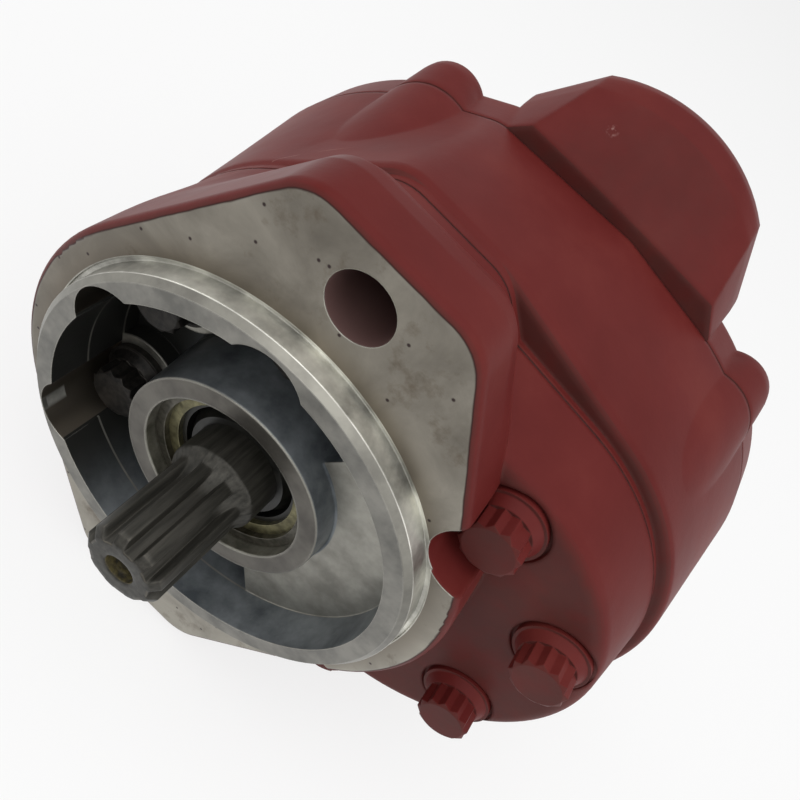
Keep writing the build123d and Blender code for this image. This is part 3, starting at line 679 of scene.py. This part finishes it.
shaftLook = {
    "teeth": 9,
    "tipRadius": 7.72,
    "rootRadius": 6.1,
    "journalRadius": 9.0,
    "journalFront": -2.6,
    "flankAngles": (8.2, 12.2),     # degrees from the middle of a gap, at its root and its tip
    "cutterRadius": 9.0,
    "runOutEnd": -4.4,              # where the gaps have run out
    "closerFrom": -12.0,            # from here on the rings stand closer, for the run-outs and the shoulder
    "chamfer": 1.3,
    "shoulder": 1.28,               # rounding between the teeth and the journal
    "edge": 0.22,                   # rounding of the edges of the end face
    "holeDepth": 6.0,
    "holePoint": 1.2,               # extra depth of the drill's cone
}


def closedTurning(name, rows, poleStart, poleEnd):
    # rows is an array of rings (ring, angle, xyz); quads join the rings, and a fan closes each end
    rings, columns, _ = rows.shape
    points = np.concatenate([rows.reshape(-1, 3), [poleStart, poleEnd]])
    column = np.arange(columns)
    after = (column + 1) % columns
    ring = np.arange(rings - 1)[:, None] * columns
    quads = np.stack([ring + column, ring + after, ring + columns + after, ring + columns + column], -1)
    start = rings * columns
    last = (rings - 1) * columns
    fans = np.concatenate([np.stack([np.full(columns, start), after, column], -1),
                           np.stack([np.full(columns, start + 1), last + column, last + after], -1)])
    mesh = bpy.data.meshes.new(name)
    mesh.from_pydata(points.tolist(), [], quads.reshape(-1, 4).tolist() + fans.tolist())
    mesh.polygons.foreach_set("use_smooth", np.ones(len(mesh.polygons), dtype=bool))
    mesh.update()
    piece = bpy.data.objects.new(name, mesh)
    bpy.context.collection.objects.link(piece)
    return piece


def splinedShaft():
    # radius(angle, y) = outer(y) - gap(angle) * (outer(y) - root(y)): outer is the turned profile with its
    # chamfer and rounded shoulder, root rises along the cutter's circle, and gap goes smoothly from 1 to 0
    look = shaftLook
    low, high = (corner.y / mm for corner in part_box("drive_shaft"))
    inner, outer = look["flankAngles"]
    half = 180 / look["teeth"]
    gapAngle = np.concatenate([
        np.linspace(-half, -outer, 5)[:-1], np.linspace(-outer, -inner, 11)[:-1],
        np.linspace(-inner, inner, 9)[:-1], np.linspace(inner, outer, 11)[:-1],
        np.linspace(outer, half, 5)[:-1]])
    share = np.clip((outer - np.abs(gapAngle)) / (outer - inner), 0, 1)
    gap = np.tile(share * share * (3 - 2 * share), look["teeth"])
    angle = np.radians((gapAngle[None, :] + np.arange(look["teeth"])[:, None] * 2 * half).reshape(-1))

    depth = np.concatenate([
        low + np.linspace(0, look["edge"], 4), low + np.linspace(look["edge"], look["chamfer"], 5)[1:],
        np.linspace(low + look["chamfer"], look["closerFrom"], 14)[1:],
        np.linspace(look["closerFrom"], look["journalFront"], 40)[1:],
        np.linspace(look["journalFront"], high - look["edge"], 8)[1:]])
    face = look["tipRadius"] - look["chamfer"]
    turned = np.minimum(look["tipRadius"], face + (depth - low))
    past = np.clip(look["edge"] - (depth - low), 0, None)
    turned -= look["edge"] - np.sqrt(np.maximum(look["edge"] ** 2 - past ** 2, 0))
    climb = np.clip((depth - (look["journalFront"] - 2 * look["shoulder"])) / (2 * look["shoulder"]), 0, 1)
    turned += (look["journalRadius"] - look["tipRadius"]) * climb * climb * (3 - 2 * climb)
    centre = look["rootRadius"] + look["cutterRadius"]
    reach = np.sqrt(look["cutterRadius"] ** 2 - (centre - look["tipRadius"]) ** 2)
    along = np.clip(depth - (look["runOutEnd"] - reach), 0, look["cutterRadius"])
    root = centre - np.sqrt(look["cutterRadius"] ** 2 - along ** 2)
    radius = turned[:, None] - gap[None, :] * np.maximum(turned - root, 0)[:, None]

    # before the teeth come the centre hole and the end face, carried outwards to the first ring; the corner
    # between them is round, with its middle point 0.3 of the rounding off both sides
    hole = pump["centreHoleRadius"]
    bore = [(hole, low + look["holeDepth"]), (hole, low + look["edge"] * 2), (hole, low + look["edge"]),
            (hole + look["edge"] * 0.3, low + look["edge"] * 0.3), (hole + look["edge"], low)]
    boreRadius = np.array([r for r, _ in bore])[:, None] * np.ones(len(angle))
    boreDepth = np.array([y for _, y in bore])
    steps = np.linspace(0, 1, 5)[1:-1, None]
    faceRadius = boreRadius[-1] + steps * (radius[0] - boreRadius[-1])
    radius = np.concatenate([boreRadius, faceRadius, radius, [radius[-1] - look["edge"]]])
    depth = np.concatenate([boreDepth, np.full(len(steps), low), depth, [high]])
    rings = np.stack([radius * np.sin(angle), np.broadcast_to(depth[:, None], radius.shape),
                      radius * np.cos(angle)], -1) * mm
    floorPoint = (0, (low + look["holeDepth"] + look["holePoint"]) * mm, 0)
    return closedTurning("splinedShaft", rings, floorPoint, (0, high * mm, 0))


rubberLooks = {
    # nitrile rubber of the seal's lip, black and wet with oil
    "nitrileRubber": {"dark": "#0c0c0b", "light": "#1f1e1a", "filmMm": 2.0, "roughness": 0.4},
    # elastomer line in the joints, with paint drawn thinly over it: dull, and darker than the castings
    "paintedJointSeal": {"dark": "#1e0d0c", "light": "#3a1a18", "filmMm": 3.0, "roughness": 0.6},
}
rubberFilm = {"roughSpread": 0.3, "heightMm": 0.03, "gloss": 0.4}


def rubber(name):
    # moulded rubber: one dark tone, faintly uneven in colour, height and shine
    look = rubberLooks[name]
    material, tree = newMaterial(name)
    place = placeOn(tree)
    film = addNode(tree, "ShaderNodeTexNoise", {}, {
        "Vector": place["spot"], "Scale": lumps(look["filmMm"]), "Detail": 4.0})
    colour = addNode(tree, "ShaderNodeValToRGB", {}, {"Fac": film}, [
        (0.35, look["dark"]), (0.7, look["light"])])
    rough = addNode(tree, "ShaderNodeMath", {"operation": "MULTIPLY_ADD"}, {
        0: film, 1: rubberFilm["roughSpread"], 2: look["roughness"] - rubberFilm["roughSpread"] / 2})
    height = addNode(tree, "ShaderNodeMath", {"operation": "MULTIPLY"}, {
        0: film, 1: rubberFilm["heightMm"] * mm})
    normal = addNode(tree, "ShaderNodeBump", {}, {"Height": height, "Distance": 1.0})
    finishMaterial(tree, {"Base Color": colour, "Roughness": rough,
                          "Specular IOR Level": rubberFilm["gloss"], "Normal": normal})
    return material


# The bolts beyond the gears' middle were painted with the castings; the others sit in the pilot's hollow
innerBolts = []
outerBolts = []
for name in nodes:
    if name.startswith("cover_bolt"):
        low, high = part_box(name)
        side = outerBolts if low.x + high.x > 2 * pump["gearMiddle"] * mm else innerBolts
        side.append(name)
coat(["front_cover"], frontCasting())
coat(["rear_cover"], rearCasting())
coat(["gear_housing"], plainEnamel("castingEnamel", enamelLook["edgeRoundMm"]))
coat(outerBolts, plainEnamel("boltEnamel", enamelLook["boltRoundMm"]))
coat(innerBolts, steel("blackenedBoltSteel"))
coat(["front_gasket", "rear_gasket"], rubber("paintedJointSeal"))
coat(["seal_lip"], rubber("nitrileRubber"))
shaft = splinedShaft()
shaft.data.materials.append(steel("oiledShaftSteel"))
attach(shaft, "shaft")
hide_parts("drive_shaft")
coat(["seal_case"], steel("oiledSealSteel"))
coat(["shaft_bush"], steel("bearingBronze"))
coat(["retaining_ring"], steel("oiledSpringSteel"))
coat([name for name in nodes if "dowel" in name], steel("groundPinSteel"))
print("finishes made:", len(bpy.data.materials))


# Floor, light and camera

floorLook = {"gapMm": 0.5, "size": 6.0, "colour": "#f6f6f6", "glow": 0.75}      # size in metres


def seenRays(tree):
    # 1 for rays that come from the camera, a reflection or a transmission
    path = addNode(tree, "ShaderNodeLightPath", out=None)
    seen = path["Is Camera Ray"]
    for ray in ("Is Glossy Ray", "Is Transmission Ray"):
        seen = addNode(tree, "ShaderNodeMath", {"operation": "MAXIMUM"}, {0: seen, 1: path[ray]})
    return seen


def whiteFloor():
    # pale floor that takes the pump's shadow; part of it glows where it is seen, so that it is white
    half = floorLook["size"] / 2
    level = cadBox[0].z - floorLook["gapMm"] * mm
    mesh = bpy.data.meshes.new("floor")
    mesh.from_pydata([(-half, -half, level), (half, -half, level), (half, half, level), (-half, half, level)],
                     [], [(0, 1, 2, 3)])
    floor = bpy.data.objects.new("floor", mesh)
    bpy.context.collection.objects.link(floor)
    material, tree = newMaterial("paperFloor")
    paper = addNode(tree, "ShaderNodeBsdfDiffuse", {}, {"Color": floorLook["colour"]})
    glow = addNode(tree, "ShaderNodeEmission", {}, {"Color": "#ffffff", "Strength": 1.0})
    share = addNode(tree, "ShaderNodeMath", {"operation": "MULTIPLY"}, {
        0: seenRays(tree), 1: floorLook["glow"]})
    surface = addNode(tree, "ShaderNodeMixShader", {}, {0: share, 1: paper, 2: glow})
    addNode(tree, "ShaderNodeOutputMaterial", {}, {"Surface": surface}, out=None)
    mesh.materials.append(material)
    floor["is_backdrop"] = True


# Soft panels in metres and watts: one wide one overhead and two weak ones at the sides
lamps = {
    "panelAbove": {"place": (0.05, -0.22, 0.85), "size": 1.5, "power": 8.0},
    "panelRight": {"place": (0.85, -0.15, 0.35), "size": 0.7, "power": 1.6},
    "panelLeft": {"place": (-0.85, 0.0, 0.35), "size": 0.7, "power": 1.6},
}


def addLamps():
    target = (cadBox[0] + cadBox[1]) / 2
    for name, lamp in lamps.items():
        light = bpy.data.lights.new(name, "AREA")
        light.shape = "DISK"
        light.size = lamp["size"]
        light.energy = lamp["power"]
        panel = bpy.data.objects.new(name, light)
        panel.location = lamp["place"]
        panel.rotation_euler = (target - Vector(lamp["place"])).to_track_quat("-Z", "Y").to_euler()
        bpy.context.collection.objects.link(panel)


worldLook = {"seen": 1.0, "lighting": 0.3}


def whiteWorld():
    # white to the camera, reflections and transmission, and a weak grey light for everything else
    world = bpy.data.worlds.new("studio")
    bpy.context.scene.world = world
    world.use_nodes = True
    tree = world.node_tree
    tree.nodes.clear()
    strength = addNode(tree, "ShaderNodeMix", {}, {
        0: seenRays(tree), 2: worldLook["lighting"], 3: worldLook["seen"]})
    sky = addNode(tree, "ShaderNodeBackground", {}, {"Color": "#ffffff", "Strength": strength})
    addNode(tree, "ShaderNodeOutputWorld", {}, {"Surface": sky}, out=None)


# The photograph's view: place in millimetres, and the picture's right, up and towards-the-viewer directions
cameraView = {
    "place": (10.79, -76.43, 125.52),
    "right": (0.7068, 0.5022, 0.4982),
    "up": (-0.7073, 0.5145, 0.4848),
    "back": (-0.0128, -0.6951, 0.7188),
    "lens": 36.0,
    "sensor": 36.0,
    "nearest": 0.005,
}


def addCamera():
    data = bpy.data.cameras.new("photoCamera")
    data.lens = cameraView["lens"]
    data.sensor_width = cameraView["sensor"]
    data.clip_start = cameraView["nearest"]
    camera = bpy.data.objects.new("photoCamera", data)
    axes = Matrix([cameraView["right"], cameraView["up"], cameraView["back"]]).transposed()
    camera.matrix_world = Matrix.LocRotScale(Vector(cameraView["place"]) * mm, axes.to_quaternion(), None)
    bpy.context.collection.objects.link(camera)
    bpy.context.scene.camera = camera


whiteFloor()
addLamps()
whiteWorld()
addCamera()
bpy.context.scene.view_settings.view_transform = "Standard"
print("stage set")

low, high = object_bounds()
